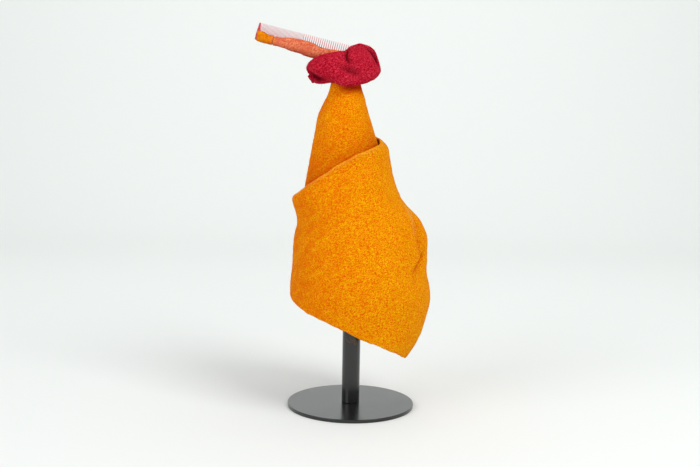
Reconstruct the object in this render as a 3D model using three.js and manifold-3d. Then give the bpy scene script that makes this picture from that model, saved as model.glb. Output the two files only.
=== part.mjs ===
// A tall felt hat on its display stand: an orange felt crown with a wide felt wrap round it,
// a red felt knot on its tip, and a plastic comb with a felt sleeve held in the knot.
// Millimetres, +Z up, front towards -Y. The origin is the centre of the stand's underside.
import * as THREE from "three";
import { mergeVertices } from "three/addons/utils/BufferGeometryUtils.js";
import Module from "manifold-3d";

const wasm = await Module();
wasm.setup();

// Driving dimensions

const FELT = 3; // thickness of the crown, the wrap and the knot
const SEAT_GAP = 0.4; // clearance between pieces that rest on each other
const LAP_GAP = 0.6; // clearance of the crown inside the wrap, where their facets cross

const BASE_DIAMETER = 180;
const BASE_THICKNESS = 5;
const BASE_CHAMFER = 0.6;
const POST_DIAMETER = 25.4;
const POST_TOP_Z = 429;
const POST_ROUNDING = 6;
const ROUND_SIDES = 64;

// The hat leans to the left as it stands: its axis runs through these two points above the base.
const AXIS_LOW = { x: 10, z: 120 };
const AXIS_HIGH = { x: -14, z: 455 };
const SQUARENESS = 2.15; // 2 is an ellipse, more is a rounder-cornered box
const CROWN_TIP_Z = 472;

const COMB_LENGTH = 150;
const COMB_HEIGHT = 24;
const COMB_THICKNESS = 3.4;
const COMB_SPINE = 8;
const COMB_TILT = THREE.MathUtils.degToRad(13);
const COMB_FREE_END = new THREE.Vector3(-140.6, 1, 514.9);
const COMB_END_TOOTH = 5;
const TOOTH_SHARE = 0.62; // tooth width at its root, as a share of the pitch
const TOOTH_TIP = 0.5; // tooth width at its tip, as a share of its root
const SLEEVE_JOIN = 25; // where the orange end of the sleeve meets the coral part
const SLEEVE_GAP = 0.3;
const SLEEVE_FLATNESS = 0.6; // 1 is an oval pod, less has flatter sides

// Rows of teeth from the comb's buried end to its free end: coarse, then fine.
const COMB_TEETH = [
  { pitch: 3, downTo: 71 },
  { pitch: 1.6, downTo: COMB_END_TOOTH },
];

// Horizontal sections of the crown: its left and right outline and half its depth.
const CROWN_SECTIONS = [
  { z: 472, left: -20, right: -9, depth: 5.5 },
  { z: 469, left: -27, right: -2, depth: 12.5 },
  { z: 462, left: -33, right: 4.5, depth: 18.7 },
  { z: 452, left: -35.7, right: 7.7, depth: 21.7 },
  { z: 444, left: -37.3, right: 9.9, depth: 23.6 },
  { z: 433, left: -42.4, right: 13.5, depth: 28 },
  { z: 411, left: -52.1, right: 20.2, depth: 36.2 },
  { z: 389, left: -56.4, right: 27.2, depth: 41.8 },
  { z: 344, left: -64, right: 41, depth: 52.5 },
  { z: 300, left: -71, right: 54, depth: 63 },
  { z: 265, left: -74.5, right: 65, depth: 71.5 },
  { z: 200, left: -79, right: 82, depth: 86 },
  { z: 160, left: -86, right: 88, depth: 93 },
  { z: 120, left: -89, right: 88, depth: 96 },
  { z: 70, left: -90, right: 84, depth: 96 },
];

// Horizontal sections of the wrap. It hugs the crown at the left and blouses out at the right.
const WRAP_SECTIONS = [
  { z: 385, left: -70, right: 45.5, front: 52, back: 52 },
  { z: 350, left: -78, right: 51, front: 58, back: 58 },
  { z: 324, left: -83, right: 55.4, front: 64.5, back: 65 },
  { z: 300, left: -85.5, right: 65, front: 71, back: 72 },
  { z: 265, left: -78, right: 95, front: 80, back: 82 },
  { z: 240, left: -82.5, right: 103, front: 87, back: 90 },
  { z: 205, left: -84.5, right: 103.3, front: 95, back: 97 },
  { z: 165, left: -88, right: 110, front: 100, back: 101 },
  { z: 120, left: -90, right: 100, front: 97, back: 98 },
  { z: 95, left: -90, right: 90, front: 96, back: 97 },
  { z: 72, left: -90, right: 75, front: 95, back: 95 },
];

// Heights of the wrap's hem and rim round the hat: azimuth 0 is the right, -90 the front.
const WRAP_EDGES = [
  { azimuth: -180, hem: 164, rim: 296 },
  { azimuth: -157, hem: 158.5, rim: 306 },
  { azimuth: -135, hem: 150, rim: 323.5 },
  { azimuth: -112, hem: 136.5, rim: 341.5 },
  { azimuth: -90, hem: 120, rim: 355.5 },
  { azimuth: -67, hem: 103.5, rim: 365 },
  { azimuth: -45, hem: 87, rim: 373 },
  { azimuth: -27, hem: 80, rim: 376 },
  { azimuth: -12, hem: 78.5, rim: 377.5 },
  { azimuth: 0, hem: 79.5, rim: 379 },
  { azimuth: 22, hem: 87, rim: 382 },
  { azimuth: 45, hem: 101, rim: 384.5 },
  { azimuth: 90, hem: 127, rim: 366 },
  { azimuth: 135, hem: 150, rim: 317 },
  { azimuth: 157, hem: 159, rim: 301 },
];

// The buckled fold in the wrap's right side, from the shoulder down to its crease on the front.
const WRAP_FOLD = [
  { azimuth: 0, z: 303, depth: 1, width: 12 },
  { azimuth: -13, z: 276, depth: 7, width: 17 },
  { azimuth: -22, z: 248, depth: 9, width: 19 },
  { azimuth: -20, z: 220, depth: 9, width: 16 },
  { azimuth: -30, z: 203, depth: 6, width: 11 },
  { azimuth: -42, z: 188, depth: 0, width: 8 },
];
const WRAP_FOLD_RADIUS = 95; // the wrap's mean radius where it is folded
const FOLD_SHARPNESS = 1.5; // 1 is a straight-sided groove, more narrows towards its bottom

// The knot is a squashed pouch round the crown's tip, with a slit mouth along X that holds the comb.
const KNOT_NECK = { x: -14.2, z: 457.5, radius: 20.9 };
const KNOT_OUTLINE = { x: -17.6, halfWidth: 51, halfDepth: 38 };
const KNOT_MOUTH = { x: -17, halfWidth: 46, halfDepth: 6.2 };
const KNOT_MIDDLE_Z = 478;
const KNOT_FOLD_RADIUS = 44; // the knot's mean radius where it is folded
const KNOT_GIRTH = 105; // length of felt from the neck over the lip's crest into the mouth
const KNOT_UNDER_AT = 0.66; // place of the underside's row between the neck and the outline
const KNOT_CREST_AT = 0.42; // place of the crest's row between the outline and the mouth

// Heights round the knot: its underside, its widest place, the crest of its lip and the lip's edge.
const KNOT_SECTIONS = [
  { azimuth: -180, under: 459, widest: 476, crest: 485, lip: 487 },
  { azimuth: -150, under: 458, widest: 476, crest: 489, lip: 487 },
  { azimuth: -130, under: 457, widest: 478, crest: 495, lip: 489 },
  { azimuth: -110, under: 455, widest: 479, crest: 499, lip: 490 },
  { azimuth: -88, under: 454, widest: 479, crest: 501, lip: 490 },
  { azimuth: -70, under: 455, widest: 479, crest: 507, lip: 497 },
  { azimuth: -55, under: 457, widest: 478, crest: 506, lip: 497 },
  { azimuth: -35, under: 460, widest: 475, crest: 496, lip: 490 },
  { azimuth: -15, under: 461, widest: 473, crest: 483, lip: 481 },
  { azimuth: 0, under: 461, widest: 474, crest: 485, lip: 484 },
  { azimuth: 20, under: 461, widest: 477, crest: 500, lip: 494 },
  { azimuth: 40, under: 460, widest: 480, crest: 509, lip: 500 },
  { azimuth: 65, under: 458, widest: 480, crest: 511, lip: 501 },
  { azimuth: 90, under: 457, widest: 479, crest: 505, lip: 496 },
  { azimuth: 110, under: 457, widest: 478, crest: 498, lip: 490 },
  { azimuth: 135, under: 458, widest: 477, crest: 491, lip: 487 },
  { azimuth: 158, under: 459, widest: 476, crest: 487, lip: 486 },
];

// Folds pressed into the knot. A rise of 0 is its neck and 1 the edge of its lip.
const KNOT_LIP_CREASE = [
  { azimuth: -86, rise: 0.84, depth: 4, width: 8 },
  { azimuth: -82, rise: 0.62, depth: 4, width: 8 },
  { azimuth: -70, rise: 0.55, depth: 0, width: 6 },
];
const KNOT_TUCK = [
  { azimuth: -172, rise: 0.47, depth: 3, width: 9 },
  { azimuth: -150, rise: 0.34, depth: 6, width: 10 },
  { azimuth: -125, rise: 0.2, depth: 2, width: 8 },
];

// The felt sleeve along the comb, from its free end: top edge, drop below the spine, side thickness.
const SLEEVE_SECTIONS = [
  { along: 1.5, top: 13, below: 1.6, side: 1.8 },
  { along: 8, top: 13.5, below: 1.8, side: 2.4 },
  { along: 17, top: 11, below: 1.8, side: 2.4 },
  { along: 34, top: 12.2, below: 2, side: 2.6 },
  { along: 61, top: 15.5, below: 3.6, side: 3 },
  { along: 78, top: 15, below: 5.4, side: 3.2 },
  { along: 93, top: 11.5, below: 5.6, side: 3.2 },
  { along: 117, top: 13.5, below: 4.5, side: 3 },
  { along: 126, top: 11, below: 3, side: 2.4 },
];

const degrees = THREE.MathUtils.degToRad;

// A smooth curve through one column of a table, with no overshoot between its rows.
// A table that goes round, such as one by azimuth, gives its period.
function curveThrough(rows, key, column, period = 0) {
  let points = rows.map((row) => [row[key], row[column]]).sort((a, b) => a[0] - b[0]);
  if (period) {
    const before = points.slice(-2).map(([at, value]) => [at - period, value]);
    const after = points.slice(0, 2).map(([at, value]) => [at + period, value]);
    points = [...before, ...points, ...after];
  }
  const rise = (i) => (points[i + 1][1] - points[i][1]) / (points[i + 1][0] - points[i][0]);
  const slopes = points.map((_, i) => {
    if (i === 0) return rise(0);
    if (i === points.length - 1) return rise(i - 1);
    const [below, above] = [rise(i - 1), rise(i)];
    return below * above > 0 ? (2 * below * above) / (below + above) : 0;
  });
  return (at) => {
    const place = period ? at - period * Math.floor((at - points[1][0]) / period) : at;
    let i = points.findIndex((point) => point[0] > place) - 1;
    if (i < 0) i = place < points[0][0] ? 0 : points.length - 2;
    const span = points[i + 1][0] - points[i][0];
    const t = THREE.MathUtils.clamp((place - points[i][0]) / span, 0, 1);
    const start = (1 + 2 * t) * (1 - t) ** 2 * points[i][1] + t * (1 - t) ** 2 * span * slopes[i];
    const end = t * t * (3 - 2 * t) * points[i + 1][1] + t * t * (t - 1) * span * slopes[i + 1];
    return start + end;
  };
}

// Every column of a table as a curve.
function curvesThrough(rows, key, period) {
  const columns = Object.keys(rows[0]).filter((name) => name !== key);
  return Object.fromEntries(columns.map((name) => [name, curveThrough(rows, key, name, period)]));
}

const crownSections = curvesThrough(CROWN_SECTIONS, "z");
const wrapSections = curvesThrough(WRAP_SECTIONS, "z");
const wrapEdges = curvesThrough(WRAP_EDGES, "azimuth", 360);
const knotSections = curvesThrough(KNOT_SECTIONS, "azimuth", 360);
const sleeveSections = curvesThrough(SLEEVE_SECTIONS, "along");

// The hat's own surfaces, as distances from its leaning axis

function axisX(z) {
  const lean = (AXIS_HIGH.x - AXIS_LOW.x) / (AXIS_HIGH.z - AXIS_LOW.z);
  return AXIS_LOW.x + lean * (z - AXIS_LOW.z);
}

function outlineRadius(azimuth, across, deep) {
  const x = Math.abs(Math.cos(degrees(azimuth))) / across;
  const y = Math.abs(Math.sin(degrees(azimuth))) / deep;
  return (x ** SQUARENESS + y ** SQUARENESS) ** (-1 / SQUARENESS);
}

// How far a fold presses felt in at a place on the unrolled sheet, by its distance from the fold's route.
function foldDepth(route, place) {
  let deepest = 0;
  for (let i = 0; i + 1 < route.length; i += 1) {
    const [from, to] = [route[i], route[i + 1]];
    const stretch = to.place.clone().sub(from.place);
    const toPlace = place.clone().sub(from.place);
    const t = THREE.MathUtils.clamp(toPlace.dot(stretch) / stretch.lengthSq(), 0, 1);
    const away = toPlace.sub(stretch.multiplyScalar(t)).length();
    const depth = THREE.MathUtils.lerp(from.depth, to.depth, t);
    const width = THREE.MathUtils.lerp(from.width, to.width, t);
    deepest = Math.max(deepest, depth * Math.max(0, 1 - away / width) ** FOLD_SHARPNESS);
  }
  return deepest;
}

function onWrapSheet(azimuth, z) {
  return new THREE.Vector2(degrees(azimuth) * WRAP_FOLD_RADIUS, z);
}

function onKnotSheet(azimuth, rise) {
  return new THREE.Vector2(degrees(azimuth) * KNOT_FOLD_RADIUS, rise * KNOT_GIRTH);
}

const wrapFold = WRAP_FOLD.map((row) => ({ ...row, place: onWrapSheet(row.azimuth, row.z) }));
const knotFolds = [KNOT_LIP_CREASE, KNOT_TUCK].map((fold) =>
  fold.map((row) => ({ ...row, place: onKnotSheet(row.azimuth, row.rise) })),
);

// An azimuth from -180 up to 180, as the fold tables give it.
function signedAzimuth(azimuth) {
  return azimuth - 360 * Math.floor((azimuth + 180) / 360);
}

function wrapRadius(azimuth, z) {
  const right = Math.cos(degrees(azimuth)) > 0;
  const across = right ? wrapSections.right(z) - axisX(z) : axisX(z) - wrapSections.left(z);
  const deep = Math.sin(degrees(azimuth)) > 0 ? wrapSections.back(z) : wrapSections.front(z);
  return outlineRadius(azimuth, across, deep) - foldDepth(wrapFold, onWrapSheet(signedAzimuth(azimuth), z));
}

// The felt's thickness measured across a surface that slopes.
function feltAcross(radius, azimuth, z) {
  const step = 1;
  const upSlope = (radius(azimuth, z + step) - radius(azimuth, z - step)) / (2 * step);
  const turn = degrees(2 * step) * radius(azimuth, z);
  const roundSlope = (radius(azimuth + step, z) - radius(azimuth - step, z)) / turn;
  return FELT * Math.hypot(1, upSlope, roundSlope);
}

// The crown stays inside the wrap, and lies against it along the hem.
function crownRadius(azimuth, z) {
  const right = Math.cos(degrees(azimuth)) > 0;
  const across = right ? crownSections.right(z) - axisX(z) : axisX(z) - crownSections.left(z);
  const own = outlineRadius(azimuth, across, crownSections.depth(z));
  if (z > wrapEdges.rim(azimuth)) return own;
  return Math.min(own, wrapRadius(azimuth, z) - feltAcross(wrapRadius, azimuth, z) - LAP_GAP);
}

function onAxis(radius, azimuth, z) {
  const reach = radius(azimuth, z);
  const turn = degrees(azimuth);
  return new THREE.Vector3(axisX(z) + reach * Math.cos(turn), reach * Math.sin(turn), z);
}

// Solids from skins

function solidGeometry(points, triangles) {
  const geometry = new THREE.BufferGeometry().setFromPoints(points);
  geometry.setIndex(triangles.flat());
  return geometry;
}

// A felt sheet that goes round: an outer skin, an inner skin one thickness further in, and either
// a cut edge at each end or a closed tip. skin(turn, rise) gives a point, both from 0 to 1.
function feltSheet(skin, around, along, closedTip = false) {
  const nudge = 1e-3;
  const outer = [];
  const inner = [];
  for (let j = 0; j <= along; j += 1) {
    for (let i = 0; i < around; i += 1) {
      const [turn, rise] = [i / around, j / along];
      const point = skin(turn, rise);
      const round = skin(turn + nudge, rise).sub(skin(turn - nudge, rise));
      const low = skin(turn, Math.max(0, rise - nudge));
      const up = skin(turn, Math.min(1, rise + nudge)).sub(low);
      const inward = up.cross(round).normalize();
      outer.push(point);
      inner.push(point.clone().addScaledVector(inward, FELT));
    }
  }
  const count = outer.length;
  const at = (i, j) => j * around + (i % around);
  const triangles = [];
  for (let j = 0; j < along; j += 1) {
    for (let i = 0; i < around; i += 1) {
      const [a, b, c, d] = [at(i, j), at(i + 1, j), at(i + 1, j + 1), at(i, j + 1)];
      triangles.push([a, b, c], [a, c, d]);
      triangles.push([a + count, c + count, b + count], [a + count, d + count, c + count]);
    }
  }
  const points = [...outer, ...inner];
  const middle = (ring) => ring.reduce((sum, p) => sum.add(p), new THREE.Vector3()).divideScalar(around);
  if (closedTip) points.push(middle(outer.slice(-around)), middle(inner.slice(-around)));
  for (let i = 0; i < around; i += 1) {
    const [a, b] = [at(i, 0), at(i + 1, 0)];
    const [c, d] = [at(i, along), at(i + 1, along)];
    triangles.push([b, a, a + count], [b, a + count, b + count]);
    if (closedTip) {
      triangles.push([c, d, 2 * count], [d + count, c + count, 2 * count + 1]);
    } else {
      triangles.push([c, d, d + count], [c, d + count, c + count]);
    }
  }
  return solidGeometry(points, triangles);
}

// A solid through a row of closed rings, each with the same number of points.
function loft(rings) {
  const sides = rings[0].length;
  const points = rings.flat();
  const last = points.length - sides;
  const triangles = [];
  for (let j = 0; j + 1 < rings.length; j += 1) {
    for (let i = 0; i < sides; i += 1) {
      const [a, b] = [j * sides + i, j * sides + ((i + 1) % sides)];
      triangles.push([a, b, b + sides], [a, b + sides, a + sides]);
    }
  }
  for (let i = 1; i + 1 < sides; i += 1) {
    triangles.push([0, i + 1, i], [last, last + i, last + i + 1]);
  }
  return solidGeometry(points, triangles);
}

function toManifold(geometry) {
  const bare = geometry.clone().deleteAttribute("normal").deleteAttribute("uv");
  const merged = mergeVertices(bare);
  return new wasm.Manifold(
    new wasm.Mesh({
      numProp: 3,
      vertProperties: merged.attributes.position.array,
      triVerts: new Uint32Array(merged.index.array),
    }),
  );
}

function cutAway(geometry, cutter) {
  const mesh = toManifold(geometry).subtract(toManifold(cutter)).getMesh();
  const cut = new THREE.BufferGeometry();
  cut.setAttribute("position", new THREE.BufferAttribute(mesh.vertProperties, 3));
  cut.setIndex(new THREE.BufferAttribute(mesh.triVerts, 1));
  return cut;
}

// Turned shapes stand on Z
function turned(profile) {
  const points = profile.map(([radius, z]) => new THREE.Vector2(radius, z));
  return new THREE.LatheGeometry(points, ROUND_SIDES).rotateX(Math.PI / 2);
}

// The stand

function standBase() {
  const radius = BASE_DIAMETER / 2;
  return turned([
    [0, 0],
    [radius - BASE_CHAMFER, 0],
    [radius, BASE_CHAMFER],
    [radius, BASE_THICKNESS - BASE_CHAMFER],
    [radius - BASE_CHAMFER, BASE_THICKNESS],
    [0, BASE_THICKNESS],
  ]);
}

function standPost() {
  const radius = POST_DIAMETER / 2;
  const foot = BASE_THICKNESS + SEAT_GAP;
  const roundingSteps = 4;
  const profile = [
    [0, foot],
    [radius, foot],
  ];
  for (let i = 0; i <= roundingSteps; i += 1) {
    const turn = (i / roundingSteps) * (Math.PI / 2);
    profile.push([
      radius - POST_ROUNDING * (1 - Math.cos(turn)),
      POST_TOP_Z - POST_ROUNDING * (1 - Math.sin(turn)),
    ]);
  }
  profile.push([0, POST_TOP_Z]);
  return turned(profile);
}

// The hat

function crown() {
  const tipCrowding = 1.35; // brings the sections closer together towards the tip
  const skin = (turn, rise) => {
    const azimuth = 360 * turn;
    const hem = wrapEdges.hem(azimuth) + FELT / 2;
    const z = hem + (CROWN_TIP_Z - hem) * (1 - (1 - rise) ** tipCrowding);
    return onAxis(crownRadius, azimuth, z);
  };
  return feltSheet(skin, 44, 17, true);
}

function wrap() {
  const skin = (turn, rise) => {
    const azimuth = 360 * turn;
    const z = THREE.MathUtils.lerp(wrapEdges.hem(azimuth), wrapEdges.rim(azimuth), rise);
    return onAxis(wrapRadius, azimuth, z);
  };
  return feltSheet(skin, 64, 14);
}

function knotRing(ring, azimuth, z) {
  const turn = degrees(azimuth);
  const across = ring.halfWidth ?? ring.radius;
  const deep = ring.halfDepth ?? ring.radius;
  return new THREE.Vector3(ring.x + across * Math.cos(turn), deep * Math.sin(turn), z);
}

function knot() {
  const skin = (turn, rise) => {
    const azimuth = 360 * turn;
    const row = Object.fromEntries(Object.entries(knotSections).map(([name, at]) => [name, at(azimuth)]));
    const neck = knotRing(KNOT_NECK, azimuth, KNOT_NECK.z);
    const widest = knotRing(KNOT_OUTLINE, azimuth, row.widest);
    const lip = knotRing(KNOT_MOUTH, azimuth, row.lip);
    const under = neck.clone().lerp(widest, KNOT_UNDER_AT).setZ(row.under);
    const crest = widest.clone().lerp(lip, KNOT_CREST_AT).setZ(row.crest);
    const point = new THREE.CatmullRomCurve3([neck, under, widest, crest, lip]).getPoint(rise);
    const place = onKnotSheet(signedAzimuth(azimuth), rise);
    const pressed = Math.max(...knotFolds.map((fold) => foldDepth(fold, place)));
    const middle = new THREE.Vector3(KNOT_OUTLINE.x, 0, KNOT_MIDDLE_Z);
    return point.lerp(middle, pressed / point.distanceTo(middle));
  };
  return feltSheet(skin, 44, 13);
}

// The comb, in its own frame: X along the spine from the free end, Z up the teeth

function combOutline() {
  const outline = new THREE.Shape();
  outline.moveTo(0, 0);
  outline.lineTo(COMB_LENGTH, 0);
  const tooth = (right, width) => {
    const taper = (width * (1 - TOOTH_TIP)) / 2;
    outline.lineTo(right, COMB_SPINE);
    outline.lineTo(right - taper, COMB_HEIGHT);
    outline.lineTo(right - width + taper, COMB_HEIGHT);
    outline.lineTo(right - width, COMB_SPINE);
  };
  tooth(COMB_LENGTH, COMB_END_TOOTH);
  let right = COMB_LENGTH - COMB_END_TOOTH;
  for (const { pitch, downTo } of COMB_TEETH) {
    while (right - pitch > downTo) {
      tooth(right - pitch * (1 - TOOTH_SHARE), pitch * TOOTH_SHARE);
      right -= pitch;
    }
  }
  tooth(COMB_END_TOOTH, COMB_END_TOOTH);
  return outline;
}

function comb() {
  const plate = new THREE.ExtrudeGeometry(combOutline(), { depth: COMB_THICKNESS, bevelEnabled: false });
  return plate.rotateX(Math.PI / 2).translate(0, COMB_THICKNESS / 2, 0);
}

// A stretch of the felt sleeve: a soft pod round the comb's spine, slotted for the comb.
function sleeve(from, to, stations) {
  const sides = 20;
  const rings = [];
  for (let j = 0; j <= stations; j += 1) {
    const along = THREE.MathUtils.lerp(from, to, j / stations);
    const top = sleeveSections.top(along);
    const below = sleeveSections.below(along);
    const halfWidth = COMB_THICKNESS / 2 + sleeveSections.side(along);
    const ring = [];
    for (let i = 0; i < sides; i += 1) {
      const turn = (i / sides) * 2 * Math.PI;
      const y = halfWidth * Math.sign(Math.cos(turn)) * Math.abs(Math.cos(turn)) ** SLEEVE_FLATNESS;
      const z = (top - below) / 2 + ((top + below) / 2) * Math.sin(turn);
      ring.push(new THREE.Vector3(along, y, z));
    }
    rings.push(ring);
  }
  const slot = new THREE.BoxGeometry(COMB_LENGTH * 2, COMB_THICKNESS + 2 * SLEEVE_GAP, COMB_HEIGHT);
  return cutAway(loft(rings), slot.translate(0, 0, COMB_HEIGHT / 2 - SLEEVE_GAP));
}

// Assembly

const orangeFelt = new THREE.MeshStandardMaterial({ color: 0xec8808, roughness: 0.95 });
const redFelt = new THREE.MeshStandardMaterial({ color: 0xb6112c, roughness: 0.95 });
const coralFelt = new THREE.MeshStandardMaterial({ color: 0xe17351, roughness: 0.95 });
const redPlastic = new THREE.MeshStandardMaterial({ color: 0xc8243a, roughness: 0.35 });
const blackSteel = new THREE.MeshStandardMaterial({ color: 0x1b1b1b, roughness: 0.4, metalness: 0.2 });

function piece(name, geometry, material) {
  const mesh = new THREE.Mesh(geometry, material);
  mesh.name = name;
  return mesh;
}

const stand = new THREE.Group();
stand.add(piece("stand_base", standBase(), blackSteel));
stand.add(piece("stand_post", standPost(), blackSteel));

const hat = new THREE.Group();
hat.add(piece("crown", crown(), orangeFelt));
hat.add(piece("wrap", wrap(), orangeFelt));
hat.add(piece("knot", knot(), redFelt));

const combInKnot = new THREE.Group();
combInKnot.position.copy(COMB_FREE_END);
combInKnot.rotation.y = COMB_TILT;
const sleeveStart = SLEEVE_SECTIONS[0].along;
const sleeveEnd = SLEEVE_SECTIONS.at(-1).along;
combInKnot.add(piece("comb", comb(), redPlastic));
combInKnot.add(piece("comb_sleeve_end", sleeve(sleeveStart, SLEEVE_JOIN - SLEEVE_GAP, 6), orangeFelt));
combInKnot.add(piece("comb_sleeve", sleeve(SLEEVE_JOIN, sleeveEnd, 14), coralFelt));

const part = new THREE.Group();
part.add(stand, hat, combInKnot);

export default part;
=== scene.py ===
"""A tall felt hat on its display stand: hand-felted wool, a plastic comb and powder-coated steel.

Shapes are worked out in millimetres, in the part's own frame: +Z up, front towards -Y, the origin at
the centre of the stand's underside. Meshes are made in metres.
"""
import math

import bpy
import numpy as np
from mathutils import Matrix, Vector


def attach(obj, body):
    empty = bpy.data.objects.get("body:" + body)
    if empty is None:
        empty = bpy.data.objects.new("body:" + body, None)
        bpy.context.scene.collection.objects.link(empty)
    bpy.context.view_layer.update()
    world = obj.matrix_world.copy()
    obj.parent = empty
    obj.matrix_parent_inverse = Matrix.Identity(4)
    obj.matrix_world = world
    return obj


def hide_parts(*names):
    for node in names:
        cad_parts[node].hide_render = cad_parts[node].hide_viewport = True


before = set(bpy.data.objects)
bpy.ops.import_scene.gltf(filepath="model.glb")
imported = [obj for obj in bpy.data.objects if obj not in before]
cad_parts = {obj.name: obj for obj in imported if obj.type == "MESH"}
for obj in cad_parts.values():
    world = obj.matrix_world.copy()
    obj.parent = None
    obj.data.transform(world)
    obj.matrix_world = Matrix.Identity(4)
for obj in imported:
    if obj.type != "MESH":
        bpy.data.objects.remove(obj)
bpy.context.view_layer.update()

MM = 0.001

# The camera that took the picture: its place, tilt and roll, its lens and the width of its sensor
CAMERA_PLACE = (-4.7, -1500.0, 442.0)
CAMERA_PITCH_DOWN = 7.37
CAMERA_ROLL = 1.0
CAMERA_LENS = 55.26
CAMERA_SENSOR = 36.0

# Sizes of the stand. A ring of points close to each rounded edge keeps the face beside it flat.
BASE_RADIUS = 90.0
BASE_THICKNESS = 5.0
BASE_EDGE = 0.8
POST_RADIUS = 12.7
POST_FOOT_Z = 5.4
POST_TOP_Z = 429.0
POST_ROUNDING = 6.0
POST_FOOT_EDGE = 0.3
FLAT_FROM_EDGE = 1.0

# Sizes of the hat. Its sections lie round a leaning axis, given by x and z low and high on it.
FELT = 3.0
LAP_GAP = 0.6
AXIS_LOW = (10.0, 120.0)
AXIS_HIGH = (-14.0, 455.0)
SQUARENESS = 2.15
CROWN_TIP_Z = 472.0

# Columns round the hat and rows up it in each felt skin's mesh, how much closer the crown's rows are
# towards its tip, and steps round a cut edge
CROWN_GRID = (288, 150)
WRAP_GRID = (300, 145)
KNOT_GRID = (300, 150)
TIP_CROWDING = 1.2
EDGE_STEPS = 4


def table(columns, rows):
    """Rows of numbers as named columns, in the order of the first one."""
    ordered = np.array(sorted(rows), float)
    return {name: ordered[:, i] for i, name in enumerate(columns.split())}


def folds(*routes):
    """Folds as tables of the points that they run through. left and right are how wide a fold is to each
    hand of one who goes along it."""
    return [table("order x z depth left right", rows) for rows in routes]


# Horizontal sections of the crown: its left and right outline and half its depth.
CROWN = table("z left right depth", [
    (472, -20, -9, 5.5),
    (469, -27, -2, 12.5),
    (462, -33, 4.5, 18.7),
    (452, -35.7, 7.7, 21.7),
    (444, -37.3, 9.9, 23.6),
    (433, -42.4, 13.5, 28),
    (411, -52.1, 20.2, 36.2),
    (389, -56.4, 27.2, 41.8),
    (344, -64, 41, 52.5),
    (300, -71, 54, 63),
    (265, -74.5, 65, 71.5),
    (200, -79, 82, 86),
    (160, -86, 88, 93),
    (120, -89, 88, 96),
    (70, -90, 84, 96),
])

# The crown's low ridge at the left: its middle, its lean in degrees for each millimetre up, its size
RIDGE_AZIMUTH = -173.44
RIDGE_Z = 412.0
RIDGE_LEAN = -0.12
RIDGE_HALF_WIDTH = 4.0
RIDGE_HALF_LENGTH = 40.0
RIDGE_HEIGHT = 1.3

# Shade that darkens the crown's felt: over the rim, in a wide and a narrow band, and under the knot,
# where it sets in between two heights and from left to right.
RIM_SHADE = 0.36
RIM_SHADE_REACHES = (34.0, 3.0)
RIM_SHADE_FRONT = 20.0
KNOT_SHADE = 0.9
KNOT_SHADE_Z = (440.0, 450.0)
KNOT_SHADE_X = (-34.0, -12.0)

# The crown's skin is uneven where it is clear of the wrap and of the knot, and spread at its hem.
CLEAR_OF_RIM = 12.0
CLEAR_OF_KNOT_Z = (452.0, 442.0)
HEM_SPREAD = 0.4
HEM_SPREAD_HEIGHT = 10.0

# Horizontal sections of the wrap, which hugs the crown at the left and blouses out at the right.
WRAP = table("z left right front back", [
    (385, -70, 45, 52, 52),
    (350, -78, 49, 58, 58),
    (324, -83, 54.5, 64.5, 65),
    (300, -85.5, 65, 71, 72),
    (265, -78, 95, 80, 82),
    (240, -82.5, 103, 87, 90),
    (205, -84.5, 103.3, 95, 97),
    (165, -88, 110, 100, 101),
    (120, -90, 100, 97, 98),
    (95, -90, 90, 96, 97),
    (72, -90, 75, 95, 95),
])

# Heights of the wrap's hem and rim round the hat: azimuth 0 is the right, -90 the front.
WRAP_EDGES = table("azimuth hem rim", [
    (-180, 164, 296),
    (-157, 158.5, 306),
    (-135, 150, 323.5),
    (-112, 136.5, 341.5),
    (-90, 120, 355.5),
    (-67, 103.5, 365),
    (-45, 87, 373),
    (-27, 80, 376),
    (-12, 78.5, 377.5),
    (0, 79.5, 379),
    (22, 87, 382),
    (45, 101, 384.5),
    (90, 127, 366),
    (135, 150, 317),
    (157, 159, 301),
])

# How far the wrap's rim turns out from the crown, or in towards it, over its last few millimetres.
RIM_TURN = table("azimuth out", [
    (-180, 0),
    (-135, 2),
    (-90, 2.5),
    (-58, 1.5),
    (-30, -4),
    (-5, -9.5),
    (20, -10),
    (45, -5),
    (90, 0),
    (135, 1),
])
RIM_TURN_HEIGHT = 14.0

# The wrap's skin stands off where it is clear of the hem. A painted highlight pales its rim.
WRAP_STAND_OFF = 0.8
CLEAR_OF_HEM = 15.0
RIM_HIGHLIGHT_SHARE = 0.2
RIM_HIGHLIGHT_HEIGHT = 2.5

# Folds pressed into the wrap: the buckle down its right side, and two sharp folds on its front, the
# buckle's edge and the crease that it ends in. x is round the unrolled sheet for the buckle, and across
# the front for the rest.
FOLD_SHARPNESS = 1.5
WRAP_SHEET_RADIUS = 95.0
WRAP_FOLD_FADE = 10.0
# Painted shade in the crease, by its depth, and beside the buckle
CREASE_SHADE_DEPTH = 4.0
CREASE_SHADE_POWER = 1.2
BUCKLE_SHADE = 0.02
[WRAP_BUCKLE] = folds([
    (0, 0, 303, 1, 12, 12),
    (1, -21.6, 276, 7, 17, 17),
    (2, -36.5, 248, 9, 19, 19),
    (3, -33.2, 220, 9, 16, 16),
    (4, -49.7, 203, 6, 11, 11),
    (5, -69.6, 188, 0, 8, 8),
])
WRAP_FOLDS = folds(
    [
        (0, 63, 304, 0, 6, 2),
        (1, 69.7, 293.7, 3, 9, 2),
        (2, 75.4, 284.2, 6, 11, 2),
        (3, 81.2, 270.5, 8, 12, 2),
        (4, 83.5, 259.5, 7, 12, 2),
        (5, 86, 246, 4, 12, 2.5),
        (6, 89, 233, 0, 10, 3),
    ],
    [
        (0, 97.5, 229, 0, 3, 3),
        (1, 93.5, 221.7, 5, 4, 3),
        (2, 88, 213.3, 4.5, 5, 3.5),
        (3, 82, 205.5, 2, 5, 3.5),
        (4, 76, 198, 0, 4, 3),
    ],
)
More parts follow.
